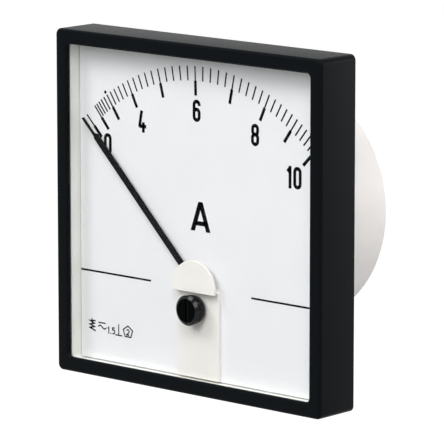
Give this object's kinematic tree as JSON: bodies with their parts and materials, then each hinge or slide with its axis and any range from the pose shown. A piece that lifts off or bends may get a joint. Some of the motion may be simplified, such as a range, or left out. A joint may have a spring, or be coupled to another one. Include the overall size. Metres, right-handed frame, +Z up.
{
  "type": "analog panel meter",
  "caption": "Square black-framed analog panel meter with a quarter-circle scale, black pointer, zero adjuster and a round barrel that passes through the panel.",
  "frame": {"origin": "middle of the square front's rear face, which lies on the panel; the middle of the four panel studs", "axes": "+Z up, the dial faces -Y, +Y goes back through the panel"},
  "size_m": [0.096, 0.0605, 0.096],
  "materials": {
    "bezel_black": "satin",
    "clear_pane": "polished",
    "tray_white": "satin",
    "dial_white": "matte",
    "cover_white": "satin",
    "knob_black": "gloss",
    "pointer_black": "matte lacquer",
    "barrel_white": "satin",
    "carrier_grey": "satin",
    "former_plastic": "satin",
    "damping_plastic": "satin",
    "copper_wire": "enamelled",
    "soft_iron": "satin",
    "steel_zinc": "zinc plated",
    "brass_part": "turned",
    "light_alloy": "satin",
    "spring_bronze": "rolled"
  },
  "bodies": {
    "case": {"bezel": "bezel_black", "window_pane": "clear_pane", "dial_tray": "tray_white", "dial_plate": "dial_white", "movement_cover": "cover_white", "front_bridge": "light_alloy", "front_jewel_screw": "brass_part", "rear_bridge": "light_alloy", "rear_jewel_screw": "brass_part", "bridge_screws": "steel_zinc", "rear_bridge_screws": "steel_zinc", "movement_carrier": "carrier_grey", "coil_bobbin": "former_plastic", "coil_winding": "copper_wire", "fixed_iron": "soft_iron", "coil_leads": "copper_wire", "damping_chamber": "damping_plastic", "damping_cover": "damping_plastic", "dial_screws": "steel_zinc", "case_screws": "steel_zinc", "panel_studs": "steel_zinc", "rear_barrel": "barrel_white", "terminal_studs": "brass_part", "terminal_nuts": "brass_part", "terminal_washers": "brass_part", "terminal_spring_washers": "steel_zinc"},
    "moving_system": {"pointer": "pointer_black", "pointer_collet": "light_alloy", "spindle": "steel_zinc", "moving_vane": "soft_iron", "damping_vane": "light_alloy", "balance_cross": "light_alloy", "balance_weights": "brass_part"},
    "zero_adjuster": {"zero_adjuster": "knob_black"},
    "zero_lever": {"zero_lever": "light_alloy", "hairspring": "spring_bronze"}
  },
  "joints": [
    {"name": "pointer_swing", "type": "hinge", "parent": "case", "child": "moving_system", "pos_m": [0, 0, -0.0193], "axis": [0, 1, 0], "range_deg": [-2, 92], "stiffness_Nm_per_rad": 0.00006},
    {"name": "zero_adjust", "type": "hinge", "parent": "case", "child": "zero_adjuster", "pos_m": [0, 0, -0.025], "axis": [0, 1, 0], "range_deg": [-30, 30]},
    {"name": "zero_lever_turn", "type": "hinge", "parent": "case", "child": "zero_lever", "pos_m": [0, 0, -0.0193], "axis": [0, 1, 0], "range_deg": [-7, 7]}
  ],
  "couplings": [
    {"joint": "zero_lever_turn", "follows": "zero_adjust", "ratio": 0.2083}
  ]
}
